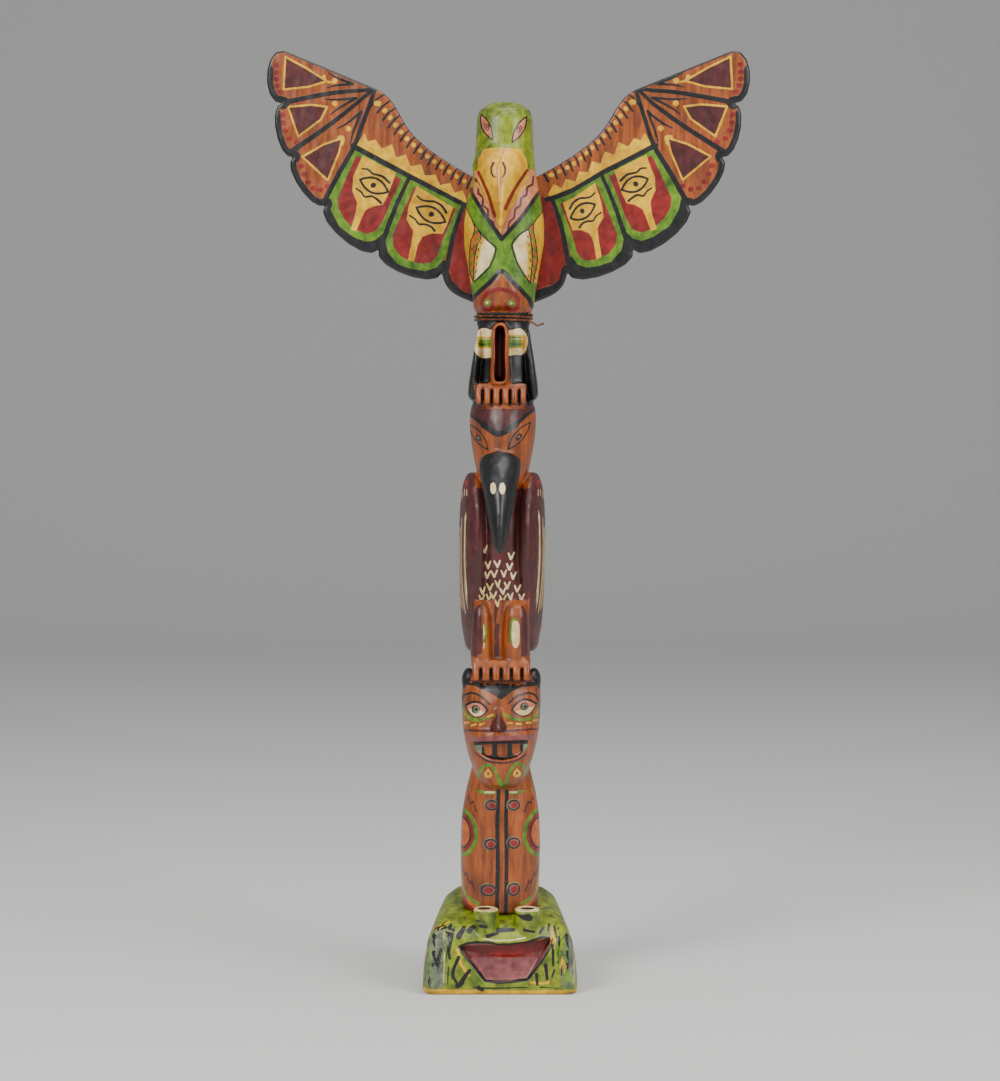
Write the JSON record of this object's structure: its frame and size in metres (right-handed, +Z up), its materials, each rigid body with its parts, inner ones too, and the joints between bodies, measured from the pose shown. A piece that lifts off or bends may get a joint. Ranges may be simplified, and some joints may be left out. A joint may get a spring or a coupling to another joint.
{
  "type": "totem pole",
  "caption": "Carved and painted wooden model totem pole: spread-winged bird over small figures, a raven and a bear-like figure, on a frog block",
  "frame": {"origin": "middle of the flat underside of the frog block, on the surface that it stands on", "axes": "+Z up along the pole, the figures face -Y, and +X is to the right of someone looking at their faces"},
  "size_m": [0.3501, 0.1166, 0.6737],
  "materials": {
    "carved_wood": "hand-painted figures under aged varnish",
    "wing_board": "hand-painted feathers under aged varnish",
    "frog_block": "hand-painted green with black brush strokes under aged varnish",
    "brown_wire": "dull brown coating"
  },
  "bodies": {
    "root": {"pole": "carved_wood", "left_wing": "wing_board", "right_wing": "wing_board", "frog_base": "frog_block", "tie_wire": "brown_wire"}
  },
  "joints": []
}
